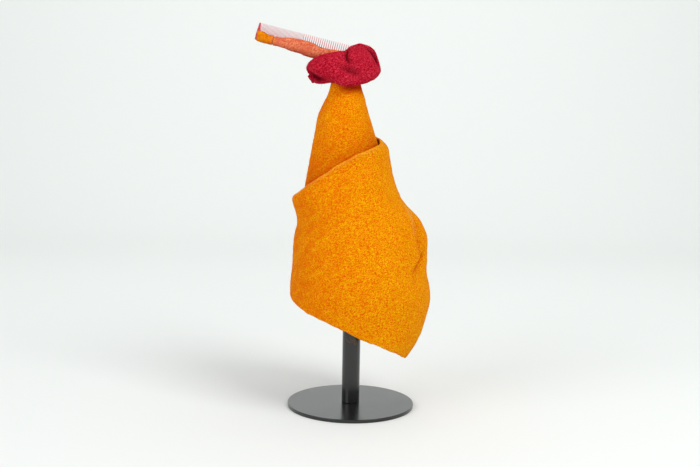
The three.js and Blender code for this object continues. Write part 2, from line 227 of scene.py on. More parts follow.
# Where wool fibres stand up along the buckle and a painted sheen pales the felt: depth is the share of a full
# nap
PAINTED_SHEEN_SHARE = 0.5
[WRAP_NAP_SHEEN] = folds([
    (0, 67, 299, 0, 2, 2),
    (1, 71.5, 290.3, 0.8, 2.5, 4),
    (2, 77, 282, 1, 3.5, 6),
    (3, 81.3, 276.5, 1, 3.5, 7),
    (4, 83.6, 268.2, 1, 3.5, 6.5),
    (5, 85.2, 259.8, 0.8, 3, 5),
    (6, 86, 250, 0.4, 2.5, 3.5),
    (7, 86.5, 243, 0, 2, 2),
])

# The knot is a squashed pouch round the crown's tip, with a slit mouth along X that holds the comb.
KNOT_NECK = (-14.2, 22.3, 22.3)
KNOT_NECK_Z = 457.5
KNOT_OUTLINE = (-17.6, 51.0, 38.0)
KNOT_MOUTH = (-17.0, 46.0)
KNOT_UNDER_AT = 0.66
KNOT_SHOULDER_AT = 0.3
KNOT_SHOULDER_UP = 0.66

# Heights round the knot: its underside, its widest place, the crest of its lip and the lip's edge.
# The crest is a share of the way in to the lip, and gape is half the width of the mouth.
KNOT = table("azimuth under widest crest lip close gape", [
    (-180, 461, 477, 484, 482, 0.72, 6.2),
    (-160, 456, 477, 487, 483, 0.72, 6.2),
    (-150, 456.5, 477, 490, 484.5, 0.72, 6.2),
    (-140, 460.5, 477, 493, 486, 0.72, 6.2),
    (-128, 463, 477.5, 495.7, 487, 0.72, 6.2),
    (-116, 460.5, 478, 498, 488, 0.72, 6.2),
    (-100, 455, 479, 500.5, 489, 0.74, 6.2),
    (-86, 453, 479, 502, 489, 0.78, 6.2),
    (-72, 454, 479, 507, 490, 0.84, 5.8),
    (-58, 456, 478, 507, 490, 0.92, 4),
    (-45, 458, 476, 502, 487, 1, 2),
    (-32, 461, 474, 493, 480, 1.02, 2),
    (-18, 463, 473, 483, 474, 1, 2),
    (-6, 463, 474, 478, 473, 0.9, 2),
    (6, 463, 475, 486, 476, 0.8, 2),
    (18, 462, 477, 498, 482, 0.74, 2),
    (32, 461, 479, 506, 487, 0.72, 2),
    (46, 460, 480, 510, 490, 0.72, 2.5),
    (62, 459, 480, 512, 492, 0.72, 5),
    (78, 458, 479, 509, 491, 0.72, 6.2),
    (90, 458, 479, 502, 489, 0.72, 6.2),
    (104, 459, 478, 498, 488, 0.72, 6.2),
    (125, 461, 477, 494, 487, 0.72, 6.2),
    (150, 461, 477, 487, 484, 0.72, 6.2),
])

# Folds seen on the knot's front: the hooked crease under the mouth, the hollow that it runs into and
# the flap tucked under at the left. Each is pressed straight back.
KNOT_FOLD_FADE = 8.0
KNOT_FOLDS = folds(
    [
        (0, -9, 506, 4, 4, 3),
        (1, -12.6, 498.7, 8, 4, 3),
        (2, -14, 494, 10, 5, 3),
        (3, -13, 488, 8, 6, 5),
        (4, -9, 484, 5, 9, 9),
        (5, -2, 480, 0, 9, 9),
    ],
    [
        (0, -40, 484, 0, 8, 8),
        (1, -24, 479, 4, 13, 11),
        (2, -11, 474, 8, 14, 12),
        (3, 0, 468, 6, 14, 10),
        (4, 6, 459, 0, 8, 8),
    ],
    [
        (0, -70, 478.5, 0, 2, 9),
        (1, -61.5, 470.7, 9, 2, 14),
        (2, -56, 466.8, 12, 2, 14),
        (3, -50, 463.5, 11, 2, 13),
        (4, -43, 460.5, 6, 2, 9),
        (5, -34, 459, 0, 2, 6),
    ],
)

# Gathers across the knot's back
KNOT_BACK_FOLDS = folds(
    [
        (0, 2, 506, 0, 4, 4),
        (1, -6, 496, 6, 5, 7),
        (2, -22, 484, 5, 6, 9),
        (3, -44, 478, 0, 6, 8),
    ],
    [
        (0, 24, 486, 0, 5, 5),
        (1, 8, 474, 6, 4, 9),
        (2, -10, 466, 5, 4, 8),
        (3, -26, 460, 0, 4, 6),
    ],
)

# Where the knot stands out beside its folds: the flap's rolled edge, and the lobe right of the crease.
KNOT_ROLLS = folds(
    [
        (0, -68, 482, 0, 8, 6),
        (1, -59, 475, -4, 11, 6),
        (2, -53, 470.5, -5, 12, 6),
        (3, -45, 466, -4, 12, 6),
        (4, -34, 462, 0, 8, 5),
    ],
    [
        (0, 6, 507, 0, 14, 7),
        (1, -3, 499, -4, 18, 8),
        (2, -5, 491, -4, 18, 9),
        (3, 4, 482, 0, 14, 9),
    ],
)
# No fold presses the front wall behind the first of these, or the back wall in front of the second.
KNOT_MOUTH_WALLS = (-5.0, 7.0)

# How dark the painted shade makes the knot's felt in its mouth and its folds, and the rises that the mouth's
# shade lies between. Its skin is uneven between its neck and its lip.
KNOT_FOLD_SHADE = 0.8
KNOT_CREASE_SHADE = 9.0
KNOT_MOUTH_RISE = (0.84, 0.94)
KNOT_NECK_RISE = 0.15
KNOT_LIP_RISE = 0.9

# Bumps in the felt skins, widest first: how high they are, how wide, and a seed for their pattern
CROWN_BUMPS = [(0.7, 26.0, 1), (0.35, 9.0, 2), (0.22, 4.5, 3)]
WRAP_BUMPS = [(0.7, 34.0, 11), (0.3, 11.0, 12), (0.18, 4.5, 13)]
WRAP_EDGE_BUMPS = [(0.7, 14.0, 14), (0.35, 5.0, 15)]
KNOT_BUMPS = [(0.7, 24.0, 21), (0.3, 9.0, 22), (0.12, 4.0, 23)]
CORAL_BUMPS = [(0.45, 9.0, 31), (0.25, 3.5, 32)]
TIP_BUMPS = [(0.45, 9.0, 41), (0.25, 3.5, 42)]
WISPS = [(0.4, 4.0, 9)]

# The comb, from the free end of its spine
COMB_FREE_END = (-140.6, 1.0, 514.9)
COMB_TILT = 13.0
COMB_LENGTH = 150.0
COMB_THICKNESS = 3.4
COMB_SPINE = 8.0
COMB_ROUND_STEPS = 16
COMB_END_TOOTH = 5.0
COMB_TEETH = table("order pitch down_to", [(0, 3.0, 63.0), (1, 1.6, 3.4)])
TOOTH_SHARE = 0.45

# Levels of a tooth, whose root is sunk in the spine. inset is the share of its width off each side.
TOOTH = table("height inset thickness", [
    (6, 0, 3.128),
    (8, 0, 3.128),
    (23.4, 0.2475, 1.2),
    (24, 0.385, 0.8),
])

# The spine's rounding across and up, and the share of its full section at a distance in from each end
SPINE_ROUNDING = (0.4, 0.5)
SPINE_ENDS = table("inward share", [(0, 0.8), (0.5, 0.97), (1.2, 1)])

# The felt sleeves along the comb: where they start, meet and end, their gap to the spine, and their
# thinnest wall and share of their drop at a rounded end
SLEEVE_START = 2.4
SLEEVE_JOIN = 25.0
SLEEVE_END = 126.0
SLEEVE_GAP = 0.3
SLEEVE_FLATNESS = 0.6
SLEEVE_THINNEST = 0.5
SLEEVE_END_DROP = 0.4
SLEEVE_OUTSIDE_POINTS = 30
SLEEVE_SLOT_POINTS = 3

# How far each end of a sleeve is rounded, and how far the tip's upper edge reaches past the comb's end
ROUNDED_END = 2.5
JOINED_END = 0.8
TIP_REACH = 2.6
TIP_REACH_LENGTH = 7.0
TIP_REACH_BELOW_TOP = 1.5
TIP_REACH_HEIGHT = 2.0

# Shade on a sleeve's underside, which sets in between two heights
SLEEVE_SHADE = 0.6
SLEEVE_SHADE_Z = (3.0, -3.0)

# Sections of the sleeves: top edge, drop below the spine, side thickness.
SLEEVE = table("along top below side", [
    (1.5, 13, 1.6, 1.8),
    (8, 13.5, 1.8, 2.4),
    (17, 11, 1.8, 2.4),
    (34, 12.2, 2, 2.6),
    (61, 15.5, 3.6, 3),
    (78, 15, 5.4, 3.2),
    (93, 11.5, 5.6, 3.2),
    (117, 13.5, 4.5, 3),
    (126, 11, 3, 2.4),
])

# Where the neighbouring wool is mixed into each sleeve: 1 all of it, below 0 not even a wisp
CORAL_MIX = table("along share", [(25, 0.8), (32, -0.6), (98, -0.6), (114, 1), (126, 1)])
TIP_MIX = table("along share", [(10, -0.6), (20, 0.1), (25, 0.7)])

# Loose brown ends under the front hem. Each row is one: its points, from the hem and back to it.
LOOSE_ENDS = [
    [(-8, -94, 122), (-6.5, -95, 117), (-3, -95.5, 113.5), (1, -95, 114), (2.5, -94, 119)],
    [(-3, -94, 121), (-1, -95, 117), (1.5, -95, 116), (3, -94, 120)],
    [(5, -94, 117), (6.5, -95, 113), (5, -95.5, 110.5), (3.5, -95, 113), (4, -94, 118)],
]

# Loose fibres on each skin: their mean length and rise, the shapes of the spreads of both, how wide they
# are, how deep they are rooted and how they bend and arch. They are wider than real fibres, to show.
SHEET_FIBRES = (2.2, 0.22)
NAP_FIBRES = (2.5, 0.3)
SLEEVE_FIBRES = (2.0, 0.3)
SLEEVE_FIBRES_PER_MM = 16
LENGTH_SHAPE = 3.0
RISE_SHAPE = 1.5
FIBRE_WIDTH = 0.1
FIBRE_ROOT = 0.25
FIBRE_BEND = 0.35
FIBRE_ARCH = 1.6
FIBRE_TAPER = table("along share", [(0, 1), (0.35, 0.85), (0.7, 0.6), (1, 0.2)])


# Curves and surfaces

def smooth(rows, key, column, at, period=0.0):
    """A smooth curve through one column of a table, with no overshoot between its rows."""
    x, y = rows[key], rows[column]
    if period:
        x = np.concatenate([x[-2:] - period, x, x[:2] + period])
        y = np.concatenate([y[-2:], y, y[:2]])
        at = x[2] + (at - x[2]) % period
    rise = np.diff(y) / np.diff(x)
    below, above = rise[:-1], rise[1:]
    same_way = below * above > 0
    total = np.where(same_way, below + above, 1.0)
    inner = np.where(same_way, 2 * below * above / total, 0.0)
    slope = np.concatenate([rise[:1], inner, rise[-1:]])
    i = np.clip(np.searchsorted(x, at, "right") - 1, 0, len(x) - 2)
    span = x[i + 1] - x[i]
    t = np.clip((at - x[i]) / span, 0, 1)
    start = (1 + 2 * t) * (1 - t) ** 2 * y[i] + t * (1 - t) ** 2 * span * slope[i]
    end = t * t * (3 - 2 * t) * y[i + 1] + t * t * (t - 1) * span * slope[i + 1]
    return start + end


def through(rows, rise):
    """Points at a rise from 0 to 1 on centripetal Catmull-Rom curves through rows of points."""
    ends = [2 * rows[0] - rows[1], *rows, 2 * rows[-1] - rows[-2]]
    spans = len(rows) - 1
    i = np.clip((rise * spans).astype(int), 0, spans - 1)
    t = (rise * spans - i)[..., None]
    stack = np.stack(ends)
    take = [np.take_along_axis(stack, (i + k)[None, ..., None], 0)[0] for k in range(4)]
    knots = [np.zeros_like(t)]
    for k in range(3):
        gap = np.linalg.norm(take[k + 1] - take[k], axis=-1, keepdims=True) ** 0.5
        knots.append(knots[-1] + np.maximum(gap, 1e-6))
    at = knots[1] + t * (knots[2] - knots[1])

    def between(low, high, start, end):
        return ((end - at) * low + (at - start) * high) / (end - start)

    first = [between(take[k], take[k + 1], knots[k], knots[k + 1]) for k in range(3)]
    second = [between(first[k], first[k + 1], knots[k], knots[k + 2]) for k in range(2)]
    return between(second[0], second[1], knots[1], knots[2])


def fade(value, start, end):
    """0 up to the start, 1 from the end, and straight between."""
    return np.clip((value - start) / (end - start), 0, 1)


def fold_depth(route, x, z, rolled=False):
    """How deep a fold presses felt in, by the distance from its route. A fold is sharp along its route,
    or round if it is rolled."""
    deepest = np.zeros_like(x)
    nearest = np.full_like(x, np.inf)
    for i in range(len(route["x"]) - 1):
        start, end = ({name: column[k] for name, column in route.items()} for k in (i, i + 1))
        dx, dz = end["x"] - start["x"], end["z"] - start["z"]
        t = np.clip(((x - start["x"]) * dx + (z - start["z"]) * dz) / (dx * dx + dz * dz), 0, 1)
        off_x, off_z = x - start["x"] - t * dx, z - start["z"] - t * dz
        away = np.hypot(off_x, off_z)
        depth, left, right = (start[k] + t * (end[k] - start[k]) for k in ("depth", "left", "right"))
        width = np.where(dx * off_z - dz * off_x > 0, left, right)
        share = np.clip(away / width, 0, 1)
        pressed = depth * ((1 - share ** 2) ** 2 if rolled else (1 - share) ** FOLD_SHARPNESS)
        deepest = np.where(away < nearest, pressed, deepest)
        nearest = np.minimum(away, nearest)
    return deepest


def deepest_fold(routes, x, z):
    return np.maximum.reduce([fold_depth(route, x, z) for route in routes])


def signed(azimuth):
    return (azimuth + 180.0) % 360.0 - 180.0


def axis_x(z):
    lean = (AXIS_HIGH[0] - AXIS_LOW[0]) / (AXIS_HIGH[1] - AXIS_LOW[1])
    return AXIS_LOW[0] + lean * (z - AXIS_LOW[1])


def section_radius(azimuth, z, rows, front, back):
    """Distance from the hat's leaning axis to the outline of a section."""
    turn = np.radians(azimuth)
    right = smooth(rows, "z", "right", z) - axis_x(z)
    left = axis_x(z) - smooth(rows, "z", "left", z)
    across = np.where(np.cos(turn) > 0, right, left)
    deep = np.where(np.sin(turn) > 0, smooth(rows, "z", back, z), smooth(rows, "z", front, z))
    x = np.abs(np.cos(turn)) / across
    y = np.abs(np.sin(turn)) / deep
    return (x ** SQUARENESS + y ** SQUARENESS) ** (-1 / SQUARENESS)


def wrap_edge(name, azimuth):
    """Height of the wrap's hem or rim."""
    return smooth(WRAP_EDGES, "azimuth", name, azimuth, 360.0)


def buckle_depth(azimuth, z):
    return fold_depth(WRAP_BUCKLE, np.radians(signed(azimuth)) * WRAP_SHEET_RADIUS, z)


def wrap_radius(azimuth, z):
    return section_radius(azimuth, z, WRAP, "front", "back") - buckle_depth(azimuth, z)


def wrap_inside(azimuth, z):
    """Distance to the wrap's inner face, allowing for the slope of the felt."""
    step = 1.0
    up = (wrap_radius(azimuth, z + step) - wrap_radius(azimuth, z - step)) / (2 * step)
    radius = wrap_radius(azimuth, z)
    turn = math.radians(2 * step) * radius
    round_ = (wrap_radius(azimuth + step, z) - wrap_radius(azimuth - step, z)) / turn
    return radius - FELT * np.sqrt(1 + up * up + round_ * round_)


def crown_radius(azimuth, z):
    """Distance to the crown's outer face, which stays inside the wrap as far up as the rim."""
    own = section_radius(azimuth, z, CROWN, "depth", "depth")
    covered = z <= wrap_edge("rim", azimuth)
    return np.where(covered, np.minimum(own, wrap_inside(azimuth, z) - LAP_GAP), own)


def on_axis(radius, azimuth, z):
    turn = np.radians(azimuth)
    return np.stack([axis_x(z) + radius * np.cos(turn), radius * np.sin(turn), z], -1)


def unevenness(points, size, seed, waves=24):
    """A smooth random height at each point, about -1 to 1, with bumps about size millimetres across."""
    rng = np.random.default_rng(seed)
    ways = rng.normal(size=(waves, 3))
    ways /= np.linalg.norm(ways, axis=1, keepdims=True)
    steps = math.pi / (size * rng.uniform(0.75, 1.5, waves))
    phases = rng.uniform(0, 2 * math.pi, waves)
    heights = np.cos(points @ (ways * steps[:, None]).T + phases)
    return heights.sum(-1) * math.sqrt(2 / waves) / 1.6


def bumps(points, rows):
    """The unevenness of a felt skin, from a row for each size of bump."""
    return sum(height * unevenness(points, size, seed) for height, size, seed in rows)


def grid_normals(points):
    """Outward unit normals of a grid whose rows rise and whose columns go round."""
    around = np.roll(points, -1, 1) - np.roll(points, 1, 1)
    up = np.gradient(points, axis=0)
    normals = np.cross(around, up)
    return normals / np.linalg.norm(normals, axis=-1, keepdims=True)


# Meshes

def add_mesh(name, points, faces, material, shade_smooth=True):
    mesh = bpy.data.meshes.new(name)
    mesh.from_pydata((np.asarray(points) * MM).tolist(), [], faces)
    mesh.polygons.foreach_set("use_smooth", [shade_smooth] * len(mesh.polygons))
    mesh.materials.append(material)
    piece = bpy.data.objects.new(name, mesh)
    bpy.context.scene.collection.objects.link(piece)
    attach(piece, "root")
    return piece


def mark(piece, name, shares):
    """Gives a mesh's points their shares of a mark that its felt shows. Points after the last have none."""
    values = np.zeros(len(piece.data.vertices))
    values[:shares.size] = shares.reshape(-1)
    piece.data.attributes.new(name, "FLOAT", "POINT").data.foreach_set("value", values)


def ring_faces(rings, sides, closed=False):
    """Quads between neighbouring rings of points, and from the last ring to the first if closed."""
    j, i = np.meshgrid(np.arange(rings if closed else rings - 1), np.arange(sides), indexing="ij")
    here, there = j * sides, ((j + 1) % rings) * sides
    nxt = (i + 1) % sides
    return np.stack([here + i, here + nxt, there + nxt, there + i], -1).reshape(-1, 4).tolist()


def rounded_edge(outer, inner, towards):
    """Rings that turn from the edge of one skin to the edge of the other, as a cut felt edge does."""
    middle = (outer + inner) / 2
    half = np.linalg.norm(outer - inner, axis=-1, keepdims=True) / 2
    out = towards / np.linalg.norm(towards, axis=-1, keepdims=True)
    turns = np.pi * np.arange(1, EDGE_STEPS) / EDGE_STEPS
    return [middle + (outer - middle) * np.cos(a) + out * half * np.sin(a) for a in turns]


def felt_sheet(name, outer, material, closed_tip=False):
    """A felt sheet as a closed wall round the hat. outer is its outer skin, rows by columns."""
    inner = outer - FELT * grid_normals(outer)
    sides = outer.shape[1]
    hem = rounded_edge(inner[0], outer[0], outer[0] - outer[1])
    if closed_tip:
        rings = [*outer[::-1], *hem[::-1], *inner]
        points = np.concatenate([np.concatenate(rings), [outer[-1].mean(0), inner[-1].mean(0)]])
        faces = [face[::-1] for face in ring_faces(len(rings), sides)]
        last = (len(rings) - 1) * sides
        for i in range(sides):
            nxt = (i + 1) % sides
            faces.append([i, nxt, len(points) - 2])
            faces.append([last + nxt, last + i, len(points) - 1])
    else:
        rim = rounded_edge(outer[-1], inner[-1], outer[-1] - outer[-2])
        rings = [*outer, *rim, *inner[::-1], *hem]
        points = np.concatenate(rings)
        faces = ring_faces(len(rings), sides, closed=True)
    return add_mesh(name, points, faces, material)


def fuzz(name, skin, count, length, lift, material, seed, where=None):
    """Loose wool fibres on a skin, as thin tapering ribbons, thickest where its shares are highest."""
    rng = np.random.default_rng(seed)
    rows, columns = skin.shape[:2]
    normals = grid_normals(skin)
    chance = np.ones((rows, columns)) if where is None else where.copy()
    chance[[0, -1]] = 0.0
    cells = rng.choice(chance.size, count, p=chance.reshape(-1) / chance.sum())
    j, i = np.unravel_index(cells, chance.shape)
    normal = normals[j, i]
    shift = rng.uniform(-0.5, 0.5, (count, 2, 1))
    start = skin[j, i] + shift[:, 0] * (skin[j + 1, i] - skin[j, i])
    start = start + shift[:, 1] * (skin[j, (i + 1) % columns] - skin[j, i]) - FIBRE_ROOT * normal
    way = rng.normal(size=(count, 3))
    way -= (way * normal).sum(-1, keepdims=True) * normal
    way /= np.linalg.norm(way, axis=-1, keepdims=True)
    bend = rng.normal(size=(count, 3)) * FIBRE_BEND
    long = length * rng.gamma(LENGTH_SHAPE, 1 / LENGTH_SHAPE, (count, 1))
    rise = lift * rng.gamma(RISE_SHAPE, 1 / RISE_SHAPE, (count, 1))
    side = np.cross(normal, way) * FIBRE_WIDTH / 2
    points = []
    for t, share in zip(FIBRE_TAPER["along"], FIBRE_TAPER["share"]):
        centre = start + long * (t * way + t * t * bend) + normal * rise * long * t * (FIBRE_ARCH - t)
        points += [centre - side * share, centre + side * share]
    points = np.stack(points, 1)
    first = np.arange(count)[:, None] * points.shape[1]
    quads = [first + np.array([k, k + 2, k + 3, k + 1]) for k in range(0, points.shape[1] - 2, 2)]
    return add_mesh(name, points.reshape(-1, 3), np.concatenate(quads).tolist(), material)


# Materials

def linear(hex_colour, alpha=1.0):
    """An sRGB hex colour as linear light."""
    parts = [int(hex_colour[i:i + 2], 16) / 255 for i in (1, 3, 5)]
    light = [c / 12.92 if c <= 0.04045 else ((c + 0.055) / 1.055) ** 2.4 for c in parts]
    return (*light, alpha)


def add(tree, kind, links=None, **settings):
    """Adds a node with its settings. links gives each input a value or another node's output."""
    made = tree.nodes.new(kind)
    for name, value in settings.items():
        setattr(made, name, value)
    for socket, source in (links or {}).items():
        if isinstance(source, bpy.types.NodeSocket):
            tree.links.new(source, made.inputs[socket])
        else:
            made.inputs[socket].default_value = source
    return made


def new_material(name):
    """An empty material and its node tree."""
    material = bpy.data.materials.new(name)
    material.use_nodes = True
    material.node_tree.nodes.clear()
    return material, material.node_tree


def surface(tree, settings):
    """Gives a material its surface."""
    shader = add(tree, "ShaderNodeBsdfPrincipled", settings)
    add(tree, "ShaderNodeOutputMaterial", {"Surface": shader.outputs["BSDF"]})


def noise(tree, place, size, detail, roughness=0.5, distortion=0.0):
    """Noise with bumps of a size in millimetres."""
    return add(tree, "ShaderNodeTexNoise", {
        "Vector": place, "Scale": 1.0 / (size * MM), "Detail": detail, "Roughness": roughness,
        "Distortion": distortion,
    }).outputs["Fac"]


def remap(tree, value, low, high, to_low=0.0, to_high=1.0):
    """A value between two others, spread between two new ones."""
    return add(tree, "ShaderNodeMapRange", {
        "Value": value, "From Min": low, "From Max": high, "To Min": to_low, "To Max": to_high,
    }).outputs["Result"]


def mix_colours(tree, share, colour, other):
    """A colour with a share of another in it."""
    links = {"Factor": share, "A": colour, "B": other}
    return add(tree, "ShaderNodeMix", links, data_type="RGBA").outputs["Result"]


def hand_felted_wool(name, dark, main, light, patch, fold_and_painted_shade, blend_and_highlight, fleck=1.1):
    """Wool fibres wetted and rubbed into felt: matt and pebbled, with a marl of darker and paler fibres
    and patches of another dye lot, made stronger towards the left as painted shade. Single fibres are far
    too fine to show, so the marl is drawn as flecks of a few millimetres. One attribute of the mesh mixes in
    the fold colour as painted shade: in folds, creases and the knot's mouth, under the rim and the knot, and
    on undersides. Another brings in one more colour: the pale of a painted highlight on the rim and of
    painted sheen on the buckle, and a neighbouring wool where two wools meet."""
    material, tree = new_material(name)
    place = add(tree, "ShaderNodeTexCoord").outputs["Object"]
    lying = add(tree, "ShaderNodeMapping", {
        "Vector": place, "Rotation": (0.0, -0.65, 0.0), "Scale": (2.4, 1.3, 0.75),
    }, vector_type="TEXTURE").outputs["Vector"]
    flecks = noise(tree, lying, fleck, detail=4.0, roughness=0.7, distortion=0.3)
    clouds = noise(tree, lying, 15.0, detail=5.0, roughness=0.68, distortion=0.8)
    pile = noise(tree, lying, 1.2, detail=3.0, roughness=0.7)
    marl = add(tree, "ShaderNodeValToRGB", {"Fac": flecks})
    ramp = marl.color_ramp
    ramp.elements[0].position = 0.41
    ramp.elements[0].color = linear(dark)
    ramp.elements[1].position = 0.59
    ramp.elements[1].color = linear(light)
    ramp.elements.new(0.5).color = linear(main)
    across = add(tree, "ShaderNodeSeparateXYZ", {"Vector": place}).outputs["X"]
    # Patches of the other dye lot are made stronger towards the left, as painted shade of the side that gets
    # less light
    left_painted_shade = remap(tree, across, -80 * MM, 50 * MM, 1.0, 0.2)
    patches = remap(tree, clouds, 0.28, 0.76, to_high=left_painted_shade)
    clouded = mix_colours(tree, patches, marl.outputs["Color"], linear(patch))
    fibrous = remap(tree, flecks, 0.36, 0.56, 0.4, 1.0)
    # Share of the blend colour: painted highlight and painted sheen on the wrap, neighbouring wool on the
    # sleeves
    blend_and_highlight_share = add(tree, "ShaderNodeMath", {
        0: add(tree, "ShaderNodeAttribute", attribute_name="blend_and_highlight").outputs["Fac"], 1: fibrous,
    }, operation="MULTIPLY").outputs["Value"]
    blended = mix_colours(tree, blend_and_highlight_share, clouded, linear(blend_and_highlight))
    # Painted shade: its share comes from the mesh, and it mixes in the fold colour
    folded_and_painted_shade = add(tree, "ShaderNodeAttribute", attribute_name="fold_and_painted_shade").outputs["Fac"]
    pebbles = add(tree, "ShaderNodeBump", {
        "Height": flecks, "Distance": 0.9 * MM, "Strength": 0.8,
    }).outputs["Normal"]
    relief = add(tree, "ShaderNodeBump", {
        "Height": pile, "Normal": pebbles, "Distance": 0.4 * MM, "Strength": 0.7,
    }).outputs["Normal"]
    surface(tree, {
        "Base Color": mix_colours(tree, folded_and_painted_shade, blended, linear(fold_and_painted_shade)), "Roughness": 0.95, "IOR": 1.54,
        "Specular IOR Level": 0.03, "Sheen Weight": 0.06, "Sheen Roughness": 0.5,
        "Sheen Tint": linear(light), "Normal": relief,
    })
    return material


def powder_coated_steel():
    """Steel plate and tube with a baked satin black powder coat: a soft blurred gloss over a fine
    orange-peel surface, so a shallow view mirrors the pale room."""
    material, tree = new_material("powder_coated_steel_satin_black")
    place = add(tree, "ShaderNodeTexCoord").outputs["Object"]
    peel = noise(tree, place, 0.9, detail=2.0)
    wear_and_highlight = noise(tree, place, 45.0, detail=3.0, roughness=0.55)
    relief = add(tree, "ShaderNodeBump", {"Height": peel, "Distance": 0.02 * MM, "Strength": 0.4})
    surface(tree, {
        "Base Color": linear("#0a0b0b"), "Roughness": remap(tree, wear_and_highlight, 0.3, 0.7, 0.22, 0.27), "IOR": 1.5,
        "Coat Weight": 0.35, "Coat Roughness": 0.2, "Coat IOR": 1.5, "Normal": relief.outputs["Normal"],
    })
    return material


def moulded_acetate():
    """The comb's clear red plastic, injection moulded and polished: light passes into it, so thin
    teeth glow pink against a white wall."""
    material, tree = new_material("moulded_red_acetate")
    flow = noise(tree, add(tree, "ShaderNodeTexCoord").outputs["Object"], 14.0, detail=2.0)
    surface(tree, {
        "Base Color": mix_colours(tree, flow, linear("#d82c48"), linear("#e85468")), "Roughness": 0.28,
        "IOR": 1.48, "Transmission Weight": 0.85,
    })
    return material


def brown_wool_yarn():
    """Loose ends of spun wool: matt brown, a little darker in its twist."""
    material, tree = new_material("spun_brown_wool_end")
    twist = noise(tree, add(tree, "ShaderNodeTexCoord").outputs["Object"], 1.5, detail=1.0)
    surface(tree, {
        "Base Color": mix_colours(tree, twist, linear("#3c2410"), linear("#7a4c22")), "Roughness": 0.9,
    })
    return material


def matt_background_paper():
    material, tree = new_material("matt_background_paper")
    surface(tree, {"Base Color": linear("#ebeeec"), "Roughness": 1.0, "Specular IOR Level": 0.0})
    return material


# The orange felt's blend colour is the pale of a painted highlight and sheen. Each felt's fold colour is the
# dark of its painted shade.
orange_felt = hand_felted_wool(
    "hand_felted_wool_orange", dark="#d44200", main="#e28400", light="#ecc00e", patch="#d85800",
    fold_and_painted_shade="#b42400", blend_and_highlight="#f4bc5c")
red_felt = hand_felted_wool(
    "hand_felted_wool_red", dark="#800014", main="#b00624", light="#de4052", patch="#9c0220",
    fold_and_painted_shade="#4c000e", blend_and_highlight="#d63246")
coral_felt = hand_felted_wool(
    "needle_felted_wool_coral", dark="#ac3e2e", main="#e0744e", light="#f4a878", patch="#cc5c40",
    fold_and_painted_shade="#8a2c20", blend_and_highlight="#ea9420", fleck=1.3)
tip_felt = hand_felted_wool(
    "needle_felted_wool_orange", dark="#c05000", main="#e08408", light="#f2b420", patch="#d46804",
    fold_and_painted_shade="#8a2400", blend_and_highlight="#e0744e", fleck=1.3)
# Pale wool for the fibres on the buckle: their paleness is painted sheen
pale_sheen_wool = hand_felted_wool(
    "wool_nap_painted_sheen", dark="#e89a34", main="#f2b250", light="#f8c878", patch="#eca844",
    fold_and_painted_shade="#c83000", blend_and_highlight="#f8c878")
steel = powder_coated_steel()
acetate = moulded_acetate()
yarn = brown_wool_yarn()


# The stand

def turned(name, profile, material, sides=192):
    """A turned solid about Z. profile runs from the axis below to the axis above."""
    turn = 2 * np.pi * np.arange(sides) / sides
    rings = []
    for radius, z in profile[1:-1]:
        rings.append(np.stack([radius * np.cos(turn), radius * np.sin(turn), np.full(sides, z)], -1))
    points = np.concatenate([*rings, [[0, 0, profile[0][1]], [0, 0, profile[-1][1]]]])
    faces = ring_faces(len(rings), sides)
    last = (len(rings) - 1) * sides
    for i in range(sides):
        nxt = (i + 1) % sides
        faces.append([nxt, i, len(points) - 2])
        faces.append([last + i, last + nxt, len(points) - 1])
    return add_mesh(name, points, faces, material)


def arc(centre_radius, centre_z, size, start, end, steps=6):
    """Points of a quarter turn in a turned profile, from one angle to another in degrees."""
    turns = np.radians(np.linspace(start, end, steps + 1))
    return [(centre_radius + size * math.cos(a), centre_z + size * math.sin(a)) for a in turns]


def stand_base():
    edge = BASE_RADIUS - BASE_EDGE
    profile = [(0, 0), (edge - FLAT_FROM_EDGE, 0)]
    profile += arc(edge, BASE_EDGE, BASE_EDGE, -90, 0)
    profile += arc(edge, BASE_THICKNESS - BASE_EDGE, BASE_EDGE, 0, 90)
    profile += [(edge - FLAT_FROM_EDGE, BASE_THICKNESS), (0, BASE_THICKNESS)]
    piece = turned("base_plate", profile, steel)
    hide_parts("stand_base")


def stand_post():
    shoulder = POST_TOP_Z - POST_ROUNDING
    profile = [(0, POST_FOOT_Z), (POST_RADIUS - FLAT_FROM_EDGE, POST_FOOT_Z)]
    profile += arc(POST_RADIUS - POST_FOOT_EDGE, POST_FOOT_Z + POST_FOOT_EDGE, POST_FOOT_EDGE, -90, 0)
    profile += [(POST_RADIUS, z) for z in (POST_FOOT_Z + 2 * FLAT_FROM_EDGE, shoulder - FLAT_FROM_EDGE)]
    profile += arc(POST_RADIUS - POST_ROUNDING, shoulder, POST_ROUNDING, 0, 90)
    profile += [(0, POST_TOP_Z)]
    piece = turned("post_tube", profile, steel)
    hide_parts("stand_post")


# The hat

def grid(columns, rows):
    """Azimuths and rises of a grid that goes round the hat."""
    azimuth = 360.0 * np.arange(columns) / columns
    rise = np.linspace(0.0, 1.0, rows)
    return np.meshgrid(azimuth, rise)


def rim_shade(points):
    """How dark the crown is above the rim's front, as the camera sees it."""
    front = np.linspace(-180.0, 0.0, 91)
    rim = wrap_edge("rim", front)
    rim_x = on_axis(wrap_radius(front, rim), front, rim)[:, 0]
    above = points[..., 2] - np.interp(points[..., 0], rim_x, rim)
    bands = sum(np.exp(-(above / reach) ** 2) for reach in RIM_SHADE_REACHES)
    return RIM_SHADE * bands * fade(-points[..., 1], 0, RIM_SHADE_FRONT)


